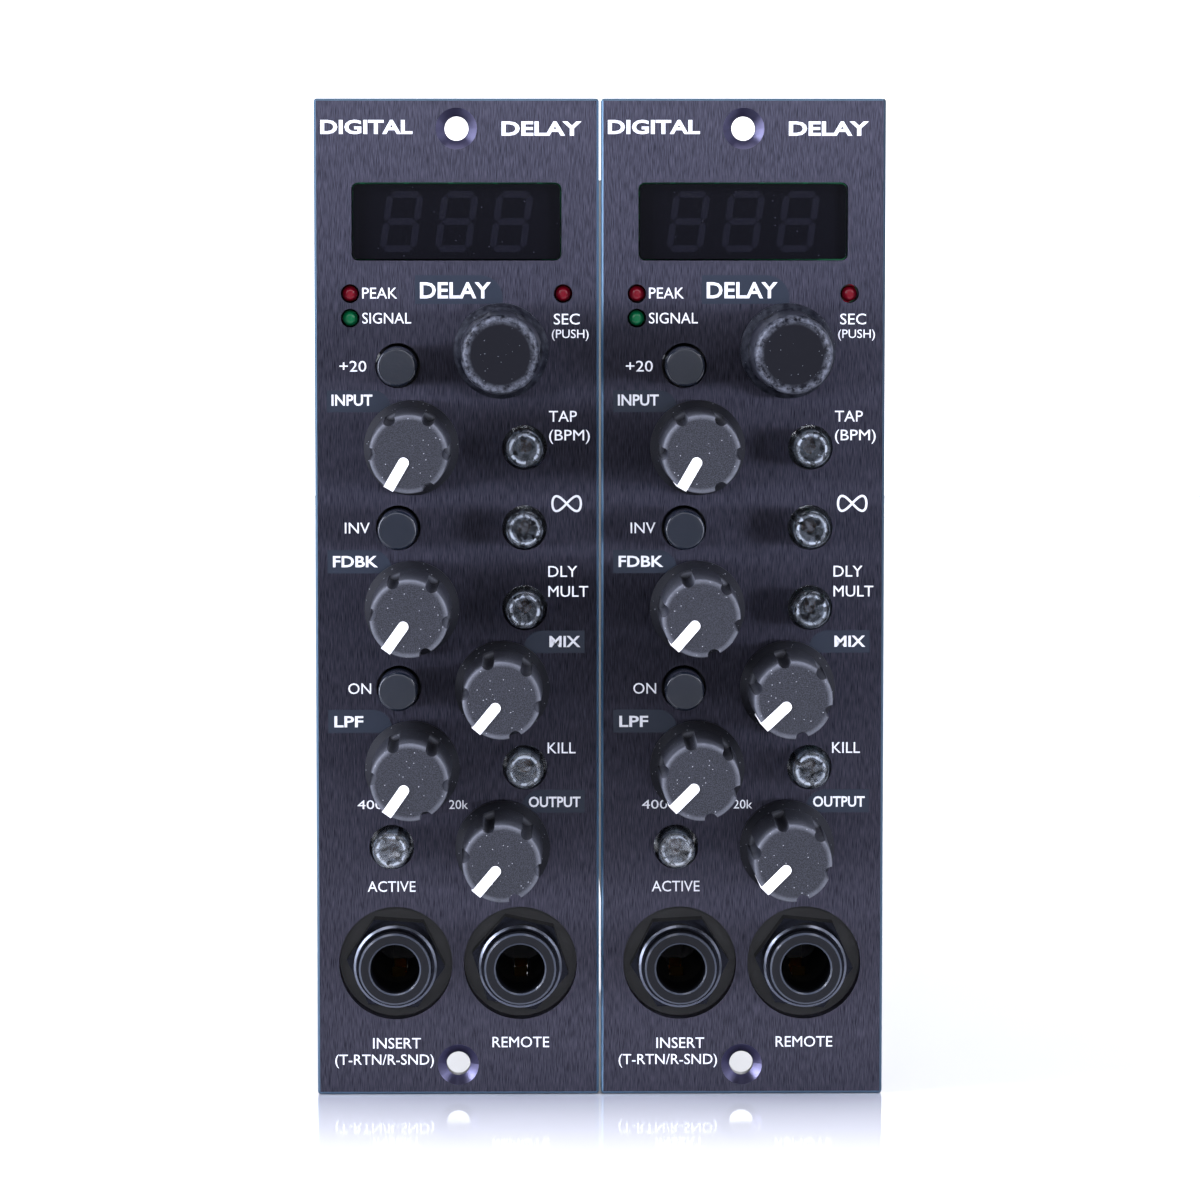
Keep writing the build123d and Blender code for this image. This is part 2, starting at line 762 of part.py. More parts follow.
def build_fixings():
    """Panel studs and their nuts, board standoffs and the screws that hold the boards."""
    studs_at = all_places(stud_places)
    with BuildPart() as studs:
        nut_rear = sheet + panel_nut_height
        round_from(-stud_depth, nut_rear + stud_past_nut, stud_radius, studs_at)
    keep(studs, "panel_studs")

    with BuildPart() as nuts:
        with BuildSketch(at_depth(sheet)):
            with Locations(*studs_at):
                RegularPolygon(panel_nut_flats / math.sqrt(3), 6)
        extrude(amount=-panel_nut_height)
        round_from(sheet, nut_rear, stud_radius + running_gap, studs_at, Mode.SUBTRACT)
    keep(nuts, "panel_nuts")

    front_screws = all_places(control_fixings)
    with BuildPart() as standoffs:
        round_from(0, control_board_y, standoff_radius, front_screws)
        round_from(control_board_y - 6, control_board_y, tapped_radius, front_screws, Mode.SUBTRACT)
        for centre in module_centres.values():
            with BuildSketch(Plane.YZ.offset(centre + chassis_left)):
                with Locations(*main_fixings):
                    Circle(standoff_radius)
            extrude(amount=sheet + main_board_gap)
            with BuildSketch(Plane.YZ.offset(centre + main_board_left)):
                with Locations(*main_fixings):
                    Circle(tapped_radius)
            extrude(amount=-main_board_gap, mode=Mode.SUBTRACT)
    keep(standoffs, "standoffs")

    with BuildPart() as screws:
        head_rear = control_board_rear + screw_head_height
        round_from(control_board_rear, head_rear, screw_head_radius, front_screws)
        round_from(control_board_y - screw_reach, control_board_rear, screw_radius, front_screws)
        for centre in module_centres.values():
            face = centre + main_board_face
            with BuildSketch(Plane.YZ.offset(face)):
                with Locations(*main_fixings):
                    Circle(screw_head_radius)
            extrude(amount=screw_head_height)
            with BuildSketch(Plane.YZ.offset(face)):
                with Locations(*main_fixings):
                    Circle(screw_radius)
            extrude(amount=-(board_thickness + screw_reach))
    keep(screws, "board_screws")


def on_main_board(centre, spots, length, height, thickness):
    """Blocks lying on the main board's component face, one at each (y, z)."""
    with BuildSketch(Plane.YZ.offset(centre + main_board_face)) as rectangles:
        with Locations(*spots):
            Rectangle(length, height)
    extrude(rectangles.sketch, amount=thickness)


def build_components():
    """The larger parts soldered to the main boards."""
    amplifier_spots = [(112 + 12 * column, 40 - 11 * row) for column in range(2) for row in range(4)]
    with BuildPart() as chips:
        for centre in module_centres.values():
            on_main_board(centre, [(72, 8)], 20, 20, 1.6)
            on_main_board(centre, [(98, 12)], 12, 18, 1.2)
            on_main_board(centre, [(70, -20)], 10, 8, 1.5)
            on_main_board(centre, amplifier_spots, 5, 4, 1.6)
    keep(chips, "chips")

    capacitor_spots = [(92 + 11 * column, -22 - 12 * row) for column in range(4) for row in range(2)]
    with BuildPart() as capacitors:
        for centre in module_centres.values():
            with BuildSketch(Plane.YZ.offset(centre + main_board_face)):
                with Locations(*capacitor_spots):
                    Circle(capacitor_radius)
            extrude(amount=capacitor_height)
        fillet(capacitors.edges().filter_by(GeomType.CIRCLE).group_by(Axis.X)[-1], 0.5)
    keep(capacitors, "capacitors")

    relay_spots = [(58, 42), (78, 42)]
    length, height, thickness = relay_size
    with BuildPart() as relays:
        for centre in module_centres.values():
            on_main_board(centre, relay_spots, length, height, thickness)
    keep(relays, "bypass_relays")


for side, centre in module_centres.items():
    build_front_panel(side, centre)
    build_chassis(side, centre)
    build_control_board(side, centre)
    build_main_board(side, centre)
    build_delay_knob(side, centre)
    build_encoder_plunger(side, centre)
    for name in pot_places:
        build_pot_knob(side, centre, name)
    for name in latch_places:
        build_latch_button(side, centre, name)
    for name in tap_places:
        build_tap_button(side, centre, name)

build_display()
build_lamps("red_lamps", all_places(red_lamp_places))
build_lamps("green_lamps", all_places(green_lamp_places))
build_button_lamps()
build_switches()
build_jack_housings()
build_jack_nuts()
build_contacts()
build_jack_boards()
build_connectors()
build_fixings()
build_components()
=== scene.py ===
import math

import bpy
from mathutils import Matrix, Vector


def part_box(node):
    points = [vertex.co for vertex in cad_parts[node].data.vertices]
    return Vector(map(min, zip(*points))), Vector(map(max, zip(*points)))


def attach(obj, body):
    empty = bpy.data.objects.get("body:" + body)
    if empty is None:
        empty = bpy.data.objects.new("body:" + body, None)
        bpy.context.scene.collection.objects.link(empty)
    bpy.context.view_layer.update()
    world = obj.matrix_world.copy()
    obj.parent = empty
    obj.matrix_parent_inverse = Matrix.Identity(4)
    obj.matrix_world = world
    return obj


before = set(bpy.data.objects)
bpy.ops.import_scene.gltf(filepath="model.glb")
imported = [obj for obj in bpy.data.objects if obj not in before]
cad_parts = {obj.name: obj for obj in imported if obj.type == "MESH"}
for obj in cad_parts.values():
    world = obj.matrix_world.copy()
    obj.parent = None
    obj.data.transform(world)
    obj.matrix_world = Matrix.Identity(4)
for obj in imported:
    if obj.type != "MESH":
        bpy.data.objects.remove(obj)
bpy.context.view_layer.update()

# ---------- Camera ----------
# The front is seen from a little above and a hair to the left, from two thirds of a metre away.
# The camera looks at the middle of the pair of panels, in the plane of their front faces.
mm = 0.001
camera_distance = 674 * mm
camera_azimuth = math.radians(-0.73)
camera_elevation = math.radians(4.7)
panel_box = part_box("left_front_panel")
aim = Vector((0, panel_box[0][1], 0))
camera_data = bpy.data.cameras.new("camera")
camera_data.angle = math.radians(13.56)
camera_data.clip_start = 0.05
camera = bpy.data.objects.new("camera", camera_data)
bpy.context.scene.collection.objects.link(camera)
camera.location = aim + camera_distance * Vector(
    (
        math.cos(camera_elevation) * math.sin(camera_azimuth),
        -math.cos(camera_elevation) * math.cos(camera_azimuth),
        math.sin(camera_elevation),
    )
)
camera.rotation_euler = (aim - camera.location).to_track_quat("-Z", "Y").to_euler()
bpy.context.scene.camera = camera


# ---------- Floor and backdrop ----------
# White glossy acrylic sheet under the modules, swept up far behind them into a white backdrop.
# It is bent from one sheet, so no corner shows.
def select_none():
    """Leaves edit mode and deselects every object."""
    if bpy.context.mode != "OBJECT":
        bpy.ops.object.mode_set(mode="OBJECT")
    bpy.ops.object.select_all(action="DESELECT")


def finish_mesh(name):
    """Names the active object, puts its place into its mesh and returns it."""
    piece = bpy.context.object
    piece.name = name
    piece.data.name = name
    select_none()
    piece.select_set(True)
    bpy.context.view_layer.objects.active = piece
    bpy.ops.object.transform_apply(location=True, rotation=True, scale=True)
    return piece


def bevel_edges(piece, chosen, offset, segments):
    """Rounds the edges of the active object whose two end points pass a test."""
    points = piece.data.vertices
    for part in (*points, *piece.data.polygons):
        part.select = False
    for edge in piece.data.edges:
        edge.select = chosen(*(points[v].co for v in edge.vertices))
    bpy.ops.object.mode_set(mode="EDIT")
    bpy.ops.mesh.select_mode(type="EDGE")
    bpy.ops.mesh.bevel(offset=offset, segments=segments, affect="EDGES")
    bpy.ops.object.mode_set(mode="OBJECT")


def linear(code):
    """An sRGB hex colour as linear red, green, blue and alpha."""
    parts = [int(code[start:start + 2], 16) / 255 for start in (1, 3, 5)]
    curve = [c / 12.92 if c <= 0.04045 else ((c + 0.055) / 1.055) ** 2.4 for c in parts]
    return (*curve, 1.0)


def new_finish(name, colour, roughness, metallic=0.0, **sockets):
    """A material with its constant values on the shader's own sockets."""
    finish = bpy.data.materials.new(name)
    finish.use_nodes = True
    shader = finish.node_tree.nodes["Principled BSDF"]
    shader.inputs["Base Color"].default_value = linear(colour)
    shader.inputs["Roughness"].default_value = roughness
    shader.inputs["Metallic"].default_value = metallic
    for key, value in sockets.items():
        shader.inputs[key.replace("_", " ")].default_value = value
    return finish


def add_node(finish, kind, links=None, **settings):
    """Adds a node: settings are its own fields, links are socket values or other sockets."""
    tree = finish.node_tree
    node = tree.nodes.new("ShaderNode" + kind)
    for key, value in settings.items():
        setattr(node, key, value)
    for key, value in (links or {}).items():
        if isinstance(value, bpy.types.NodeSocket):
            tree.links.new(value, node.inputs[key])
        else:
            node.inputs[key].default_value = value
    return node


def link(finish, source, key):
    """Links a node's output to a socket of the finish's shader."""
    finish.node_tree.links.new(source, finish.node_tree.nodes["Principled BSDF"].inputs[key])


floor_z = panel_box[0][2] - 0.1 * mm
floor_width = 2.4
floor_front = -0.35
floor_back = 1.6
backdrop_height = 1.6
sweep_radius = 0.35
fold_margin = 1 * mm
select_none()
bpy.ops.mesh.primitive_plane_add(size=1, location=(0, (floor_front + floor_back) / 2, floor_z))
bpy.context.object.scale = (floor_width, floor_back - floor_front, 1)
bpy.ops.object.transform_apply(location=True, rotation=True, scale=True)
bpy.ops.object.mode_set(mode="EDIT")
bpy.ops.mesh.select_mode(type="EDGE")
bpy.ops.mesh.select_all(action="DESELECT")
bpy.ops.object.mode_set(mode="OBJECT")
floor_mesh = bpy.context.object.data
for edge in floor_mesh.edges:
    edge.select = all(floor_mesh.vertices[v].co.y > floor_back - fold_margin for v in edge.vertices)
bpy.ops.object.mode_set(mode="EDIT")
bpy.ops.mesh.extrude_region_move(TRANSFORM_OT_translate={"value": (0, 0, backdrop_height)})
bpy.ops.object.mode_set(mode="OBJECT")
bevel_edges(
    bpy.context.object,
    lambda a, b: min(a.y, b.y) > floor_back - fold_margin and max(a.z, b.z) < floor_z + fold_margin,
    sweep_radius, 16,
)
floor = finish_mesh("floor")
for face in floor.data.polygons:
    face.use_smooth = True
# The sheet glows with painted light in front of the modules, fading to none close to them as painted shade,
# and has a faint haze from wiping.
painted_glow_strength = 0.62
glow_start_y = -6 * mm
glow_full_y = -55 * mm
white_acrylic = new_finish("white_acrylic_sheet", "#BCBDC3", 0.07, Emission_Color=linear("#FFFFFF"))
floor_place = add_node(white_acrylic, "TexCoord")
floor_axes = add_node(white_acrylic, "SeparateXYZ", {"Vector": floor_place.outputs["Object"]})
# Painted glow that grows with distance in front of the modules, leaving painted shade near them.
painted_glow_ramp = add_node(
    white_acrylic, "MapRange",
    {
        "Value": floor_axes.outputs["Y"],
        "From Min": glow_start_y,
        "From Max": glow_full_y,
        "To Min": 0.0,
        "To Max": painted_glow_strength,
    },
)
link(white_acrylic, painted_glow_ramp.outputs[0], "Emission Strength")
haze = add_node(
    white_acrylic, "TexNoise",
    {"Vector": floor_place.outputs["Object"], "Scale": 1 / (60 * mm), "Detail": 2.0},
)
haze_range = add_node(white_acrylic, "MapRange", {"Value": haze.outputs[0], "To Min": 0.05, "To Max": 0.09})
link(white_acrylic, haze_range.outputs[0], "Roughness")
white_backdrop = new_finish(
    "lit_white_backdrop", "#FFFFFF", 0.8, Emission_Color=linear("#FFFFFF"), Emission_Strength=1.1
)
floor.data.materials.append(white_acrylic)
floor.data.materials.append(white_backdrop)
for face in floor.data.polygons:
    face.material_index = int(face.center.z > floor_z + fold_margin)


# ---------- Studio light ----------
# Two upright softboxes at the sides, a large one overhead and a wide, low one behind the camera.
# The room is otherwise dim, as in a product booth.
def add_softbox(name, place, size, power, colour):
    """A rectangular light that faces the object: place and size in metres, power in watts."""
    data = bpy.data.lights.new(name, "AREA")
    data.shape = "RECTANGLE"
    data.size, data.size_y = size
    data.energy = power
    data.color = linear(colour)[:3]
    lamp = bpy.data.objects.new(name, data)
    bpy.context.scene.collection.objects.link(lamp)
    lamp.location = place
    lamp.rotation_euler = (-Vector(place)).to_track_quat("-Z", "Y").to_euler()


add_softbox("softbox_left", (-0.68, -0.26, 0.2), (0.22, 0.7), 15, "#E9EEFF")
add_softbox("softbox_right", (0.62, -0.36, 0.2), (0.16, 0.6), 9, "#E9EEFF")
add_softbox("softbox_above", (0, -0.25, 0.85), (1.0, 0.5), 4, "#F4F4FF")
add_softbox("softbox_front", (0, -1.4, 0.24), (1.2, 0.2), 9, "#F3F5FF")
world = bpy.data.worlds.new("booth")
world.use_nodes = True
world.node_tree.nodes["Background"].inputs["Color"].default_value = linear("#E9ECF8")
world.node_tree.nodes["Background"].inputs["Strength"].default_value = 0.07
bpy.context.scene.world = world
bpy.context.scene.view_settings.view_transform = "Standard"


# ---------- Chassis ----------
# A steel sheet folded into a front flange, a side plate and two lips, black powder coated.
# The coat gives a fine orange peel with a low sheen.
def cover_node(name, finish):
    """Gives a CAD node one finish all over."""
    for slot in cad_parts[name].material_slots:
        slot.material = finish


def give_grain(finish, width, depth, detail=2.0, stretch=(1, 1, 1)):
    """Raises the fine grain that a mould, a coat or a tool leaves: its width and depth in metres."""
    place = add_node(finish, "TexCoord")
    along = add_node(finish, "Mapping", {"Vector": place.outputs["Object"], "Scale": stretch})
    grain = add_node(finish, "TexNoise", {"Vector": along.outputs[0], "Scale": 1 / width, "Detail": detail})
    relief = add_node(finish, "Bump", {"Height": grain.outputs[0], "Distance": depth, "Strength": 1.0})
    link(finish, relief.outputs[0], "Normal")


sides = ("left", "right")
powder_coat = new_finish("black_powder_coat", "#1B1B1E", 0.55)
give_grain(powder_coat, 0.6 * mm, 0.04 * mm)
for side in sides:
    cover_node(side + "_chassis", powder_coat)

# ---------- Boards ----------
# Glass-epoxy circuit boards with green solder mask over copper tracks.
# The tracks show as slightly raised, lighter lines under the mask.
solder_mask = new_finish("green_solder_mask", "#0D3A20", 0.32)
board_place = add_node(solder_mask, "TexCoord")
board_axes = add_node(solder_mask, "SeparateXYZ", {"Vector": board_place.outputs["Object"]})
board_across = add_node(
    solder_mask, "Math", {0: board_axes.outputs["X"], 1: board_axes.outputs["Y"]}, operation="ADD"
)
board_point = add_node(
    solder_mask, "CombineXYZ", {"X": board_across.outputs[0], "Y": board_axes.outputs["Z"]}
)
tracks = add_node(
    solder_mask, "TexBrick",
    {
        "Vector": board_point.outputs[0],
        "Scale": 1 / (12 * mm),
        "Color1": linear("#0D3A20"),
        "Color2": linear("#10472A"),
        "Mortar": linear("#175C36"),
        "Mortar Size": 0.03,
    },
)
link(solder_mask, tracks.outputs["Color"], "Base Color")
track_relief = add_node(
    solder_mask, "Bump", {"Height": tracks.outputs["Fac"], "Distance": 0.04 * mm, "Strength": 1.0}
)
link(solder_mask, track_relief.outputs[0], "Normal")
for side in sides:
    cover_node(side + "_control_board", solder_mask)
    cover_node(side + "_main_board", solder_mask)
# The small jack boards have a black mask.
black_mask = new_finish("black_solder_mask", "#0B0B0D", 0.4)
give_grain(black_mask, 2 * mm, 0.02 * mm, detail=3.0)
cover_node("jack_boards", black_mask)


# ---------- Edge contacts ----------
# Fifteen gold-plated fingers on each face of the main board's tongue, at the rack connector's pitch.
# Each finger is etched copper with a squared tip that is eased at its corners.
def join(pieces, name):
    """Joins pieces into one mesh, in their order, and names it."""
    select_none()
    for piece in pieces:
        piece.select_set(True)
    bpy.context.view_layer.objects.active = pieces[0]
    bpy.ops.object.join()
    return finish_mesh(name)


def copy_piece(model, name, place):
    """A copy of a piece with its own mesh, moved and turned by a matrix."""
    piece = model.copy()
    piece.data = model.data.copy()
    piece.name = name
    piece.data.name = name
    piece.data.transform(place)
    bpy.context.scene.collection.objects.link(piece)
    return piece


finger_count = 15
finger_pitch = 3.96 * mm
finger_width = 2.4 * mm
finger_length = 8.5 * mm
finger_thickness = 0.04 * mm
finger_inset = 0.7 * mm
finger_corner = 0.3 * mm
gold_plate = new_finish("gold_plated_finger", "#D8A84A", 0.25, 1.0)
give_grain(gold_plate, 0.2 * mm, 0.01 * mm, stretch=(1, 0.1, 1))
select_none()
bpy.ops.mesh.primitive_cube_add(size=1)
bpy.context.object.scale = (finger_thickness, finger_length, finger_width)
finger = finish_mesh("finger")
bevel_edges(finger, lambda a, b: abs(a.x - b.x) > finger_thickness / 2, finger_corner, 2)
finger.data.materials.append(gold_plate)
for side in sides:
    low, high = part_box(side + "_main_board")
    centre_y = high[1] - finger_inset - finger_length / 2
    lowest_z = (low[2] + high[2]) / 2 - (finger_count - 1) / 2 * finger_pitch
    fingers = []
    for face_x in (low[0], high[0]):
        for step in range(finger_count):
            place = Matrix.Translation((face_x, centre_y, lowest_z + step * finger_pitch))
            fingers.append(copy_piece(finger, "finger", place))
    contacts = join(fingers, side + "_edge_contacts")
    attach(contacts, "module_pair")
bpy.data.objects.remove(finger)

# ---------- Fixings ----------
# Zinc-plated steel standoffs, studs, nuts and screws, turned and then tumbled.
# The plating is bright with faint turning marks. The pots' cans and the plungers are plated too.
zinc_plate = new_finish("zinc_plated_steel", "#B9BCC2", 0.32, 1.0)
give_grain(zinc_plate, 0.5 * mm, 0.01 * mm, detail=3.0)
for name in ("standoffs", "board_screws", "panel_studs", "panel_nuts", "pot_bodies", "encoder_bodies"):
    cover_node(name, zinc_plate)
for side in sides:
    cover_node(side + "_encoder_plunger", zinc_plate)

# ---------- Board connectors and components ----------
# Moulded black connectors, switches and chips, sleeved capacitors and cream relays, soldered on.
# The mouldings are slightly rough from their tool.
black_nylon = new_finish("moulded_black_nylon", "#161617", 0.5)
give_grain(black_nylon, 0.3 * mm, 0.015 * mm)
for name in ("board_sockets", "board_headers", "chips", "latching_switches", "tact_switches"):
    cover_node(name, black_nylon)
capacitor_sleeve = new_finish("printed_capacitor_sleeve", "#1C2A52", 0.35)
sleeve_place = add_node(capacitor_sleeve, "TexCoord")
sleeve_height = add_node(
    capacitor_sleeve, "Mapping", {"Vector": sleeve_place.outputs["Object"], "Scale": (0, 0, 1)}
)
sleeve_print = add_node(
    capacitor_sleeve, "TexWave", {"Vector": sleeve_height.outputs[0], "Scale": 1 / (40 * mm)}
)
sleeve_shade = add_node(
    capacitor_sleeve, "MixRGB",
    {"Fac": sleeve_print.outputs["Fac"], "Color1": linear("#121C3C"), "Color2": linear("#2A3C72")},
)
link(capacitor_sleeve, sleeve_shade.outputs[0], "Base Color")
cover_node("capacitors", capacitor_sleeve)
relay_case = new_finish("cream_relay_case", "#BDB9A8", 0.4)
give_grain(relay_case, 0.4 * mm, 0.02 * mm, detail=3.0)
cover_node("bypass_relays", relay_case)


# ---------- Front panels ----------
# 3 mm aluminium plate, brushed up and down, then anodised dark with a violet tint.
# The brushing is drawn about 0.1 mm wide so that it shows; real lines are finer.
def cover_faces(name, finish, chosen):
    """Gives one finish to the faces of a CAD node that a test on their centre and normal picks."""
    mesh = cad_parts[name].data
    mesh.materials.append(finish)
    for face in mesh.polygons:
        if chosen(face.center, face.normal):
            face.material_index = len(mesh.materials) - 1


brush_line_width = 0.07 * mm
brush_line_length = 1.6 * mm
anodised = new_finish("brushed_dark_anodised_aluminium", "#5C5868", 0.4, 1.0, Anisotropic=0.95)
brush_place = add_node(anodised, "TexCoord")
brush_stroke = add_node(
    anodised, "Mapping",
    {
        "Vector": brush_place.outputs["Object"],
        "Scale": (1 / brush_line_width, 1 / brush_line_width, 1 / brush_line_length),
    },
)
brush = add_node(anodised, "TexNoise", {"Vector": brush_stroke.outputs[0], "Scale": 1.0, "Detail": 2.0})
shade = add_node(anodised, "ValToRGB", {"Fac": brush.outputs[0]})
shade.color_ramp.elements[0].position = 0.28
shade.color_ramp.elements[0].color = linear("#1C1C23")
shade.color_ramp.elements[1].position = 0.78
shade.color_ramp.elements[1].color = linear("#474653")
link(anodised, shade.outputs[0], "Base Color")
brush_relief = add_node(
    anodised, "Bump", {"Height": brush.outputs[0], "Distance": 0.01 * mm, "Strength": 0.5}
)
link(anodised, brush_relief.outputs[0], "Normal")
# The edge is milled after brushing, so it is smoother than the face; its paler, bluish tone is partly the
# bare cut and partly a painted reflection of the backdrop.
milled_edge = new_finish("anodised_edge_painted_reflection", "#647C90", 0.3, 1.0)
give_grain(milled_edge, 0.4 * mm, 0.01 * mm)
# The countersinks are turned, which leaves a smoother cone.
turned_cone = new_finish("turned_anodised_countersink", "#5A586E", 0.3, 1.0)
give_grain(turned_cone, 0.3 * mm, 0.01 * mm)
# A slanting face looks forwards by more than a side wall does, and by less than the front does.
wall_slant = 0.15
cone_wall_slant = 0.2
face_slant = 0.95
milled_face_slant = 0.99
edge_band = 0.35 * mm
countersink_reach = 3 * mm
screw_row_height = 8 * mm
for side in sides:
    panel_name = side + "_front_panel"
    cover_node(panel_name, anodised)
    low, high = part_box(panel_name)
    middle = (low[0] + high[0]) / 2
    cover_faces(
        panel_name, milled_edge,
        lambda c, n: wall_slant < abs(n.y) < milled_face_slant
        and min(c.x - low[0], high[0] - c.x, c.z - low[2], high[2] - c.z) < edge_band,
    )
    cover_faces(
        panel_name, turned_cone,
        lambda c, n: cone_wall_slant < abs(n.y) < face_slant
        and abs(c.x - middle) < countersink_reach
        and high[2] - abs(c.z) < screw_row_height,
    )


# ---------- Panel print ----------
# White epoxy ink, screen printed on the panel, with slate-blue patches under the main names.
# The ink is some hundredths of a millimetre thick. Both panels have the same print.
def add_text(words, left, width, centre_z, height, weight):
    """One printed word, fitted to its width and letter height, as a thin solid mesh."""
    select_none()
    bpy.ops.object.text_add()
    text = bpy.context.object
    text.data.body = words
    text.data.resolution_u = 3
    text.data.offset = weight
    text.data.extrude = 0.5
    bpy.ops.object.convert(target="MESH")
    letters = bpy.context.object
    points = [v.co for v in letters.data.vertices]
    x0, x1 = min(p.x for p in points), max(p.x for p in points)
    y0, y1 = min(p.y for p in points), max(p.y for p in points)
    fit = Matrix.Diagonal((width * mm / (x1 - x0), height * mm / (y1 - y0), print_depth, 1))
    stand = Matrix.Rotation(math.radians(90), 4, "X")
    middle = Matrix.Translation((-x0, -(y0 + y1) / 2, 0))
    place = Matrix.Translation((left * mm, panel_face - print_depth / 2, centre_z * mm))
    letters.data.transform(place @ stand @ fit @ middle)
    return letters


print_depth = 0.03 * mm
patch_depth = 0.01 * mm
panel_face = panel_box[0][1]
white_ink = new_finish("white_epoxy_ink", "#DCDDE2", 0.5)
slate_ink = new_finish("slate_blue_ink", "#1D2431", 0.5, Specular_IOR_Level=0.2)
for ink_finish in (white_ink, slate_ink):
    give_grain(ink_finish, 0.15 * mm, 0.006 * mm)
# Each word's left end from the panel's middle, its width, the height of its centre, its letter
# height, all in millimetres, and how much its strokes are thickened.
words_at = [
    ("PEAK", -12.54, 4.64, 40.93, 1.45, 0),
    ("SIGNAL", -12.54, 6.49, 37.6, 1.45, 0),
    ("DELAY", -4.86, 9.41, 41.3, 2.15, 0.02),
    ("SEC", 12.9, 3.45, 37.47, 1.45, 0),
    ("(PUSH)", 12.64, 4.9, 35.34, 1.5, 0),
    ("+20", -15.6, 3.58, 31.21, 1.45, 0),
    ("INPUT", -16.67, 5.44, 26.7, 1.5, 0.02),
    ("TAP", 12.25, 3.72, 24.55, 1.45, 0),
    ("(BPM)", 12.26, 5.44, 21.81, 1.9, 0),
    ("INV", -14.97, 3.32, 9.65, 1.45, 0),
    ("FDBK", -16.57, 5.98, 5.17, 1.5, 0.02),
    ("DLY", 12.14, 3.86, 3.83, 1.45, 0),
    ("MULT", 12.15, 5.32, 1.15, 1.45, 0),
    ("MIX", 12.29, 4.13, -5.56, 1.5, 0.02),
    ("ON", -14.6, 3.06, -11.86, 1.45, 0),
    ("LPF", -16.47, 3.86, -16.3, 1.5, 0.02),
    ("KILL", 12.04, 3.73, -19.86, 1.45, 0),
    ("400", -13.42, 3.4, -27.47, 1.2, 0),
    ("20k", -1.16, 2.53, -27.47, 1.2, 0),
    ("OUTPUT", 9.51, 6.93, -27.13, 1.45, 0.02),
    ("ACTIVE", -12.1, 6.41, -38.53, 1.45, 0),
    ("INSERT", -11.46, 6.42, -59.77, 1.45, 0),
    ("(T-RTN/R-SND)", -16.55, 13.25, -62.21, 1.85, 0),
    ("REMOTE", 4.59, 7.62, -59.63, 1.45, 0),
    ("DIGITAL", -18.0, 12.2, 62.9, 1.9, 0.03),
    ("DELAY", 6.0, 10.6, 62.7, 1.9, 0.03),
]
words = [add_text(*word) for word in words_at]
# The sign for endless repeats: centre, half width and half height of its two loops, in millimetres.
loop_centre = (14.6, 12.9)
loop_half = (1.9, 1.0)
loop_stroke = 0.15
select_none()
bpy.ops.mesh.primitive_torus_add(
    major_radius=1, minor_radius=loop_stroke, major_segments=64, minor_segments=8,
    rotation=(math.radians(90), 0, 0),
)
sign = finish_mesh("endless_sign")
for vertex in sign.data.vertices:
    turn = math.atan2(vertex.co.z, vertex.co.x)
    out = math.hypot(vertex.co.x, vertex.co.z) - 1
    slope = Vector((-loop_half[0] * math.sin(turn), 2 * loop_half[1] * math.cos(2 * turn))).normalized()
    along_x = loop_half[0] * math.cos(turn) + out * slope.y
    along_z = loop_half[1] * math.sin(2 * turn) - out * slope.x
    depth = vertex.co.y / loop_stroke * print_depth
    vertex.co = ((loop_centre[0] + along_x) * mm, panel_face + depth, (loop_centre[1] + along_z) * mm)
words.append(sign)
panel_print = join(words, "panel_print")
panel_print.data.materials.append(white_ink)
# Each patch's left edge, right edge, top and bottom in millimetres, and the end (1 is the right
# one) whose top corner is rounded.
patches_at = [
    (-5.52, 6.14, 43.3, 39.5, 1),
    (-17.3, -8.8, 28.0, 25.1, 1),
    (-17.3, -8.8, 6.7, 3.6, 1),
    (-17.3, -8.8, -14.7, -17.8, 1),
    (8.9, 17.0, -4.1, -7.1, -1),
    (8.6, 17.0, -25.5, -28.6, -1),
]
corner_share = 0.8
patches = []
for left, right, top, bottom, end in patches_at:
    centre_x = (left + right) / 2 * mm
    centre_z = (top + bottom) / 2 * mm
    select_none()
    bpy.ops.mesh.primitive_cube_add(size=1, location=(centre_x, panel_face - patch_depth / 2, centre_z))
    bpy.context.object.scale = ((right - left) * mm, patch_depth, (top - bottom) * mm)
    patch = finish_mesh("patch")
    bevel_edges(
        patch,
        lambda a, b: abs(a.y - b.y) > patch_depth / 2 and (a.x - centre_x) * end > 0 and a.z > centre_z,
        corner_share * (top - bottom) * mm, 8,
    )
    patches.append(patch)
panel_patches = join(patches, "panel_patches")
panel_patches.data.materials.append(slate_ink)
for side in sides:
    low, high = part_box(side + "_front_panel")
    panel_middle = Matrix.Translation(((low[0] + high[0]) / 2, 0, 0))
    ink = copy_piece(panel_print, side + "_panel_print", panel_middle)
    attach(ink, "module_pair")
    blocks = copy_piece(panel_patches, side + "_panel_patches", panel_middle)
    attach(blocks, "module_pair")
bpy.data.objects.remove(panel_print)
bpy.data.objects.remove(panel_patches)

# ---------- Display ----------
# A smoked acrylic pane over a block with three seven-segment digits, all unlit.
# The pane is polished, with a little dust on it.
smoked = new_finish("smoked_acrylic", "#07070C", 0.08, Specular_IOR_Level=0.35)
pane_place = add_node(smoked, "TexCoord")
dust = add_node(smoked, "TexVoronoi", {"Vector": pane_place.outputs["Object"], "Scale": 1 / (1.3 * mm)})
dust_spot = add_node(smoked, "ValToRGB", {"Fac": dust.outputs["Distance"]})
dust_spot.color_ramp.elements[0].position = 0.03
dust_spot.color_ramp.elements[0].color = linear("#3A3A44")
dust_spot.color_ramp.elements[1].position = 0.07
dust_spot.color_ramp.elements[1].color = linear("#0A0A0F")
link(smoked, dust_spot.outputs[0], "Base Color")
cover_node("display_windows", smoked)
display_face = new_finish("grey_display_block", "#2A2A2E", 0.5)
give_grain(display_face, 0.3 * mm, 0.01 * mm)
cover_node("display_blocks", display_face)
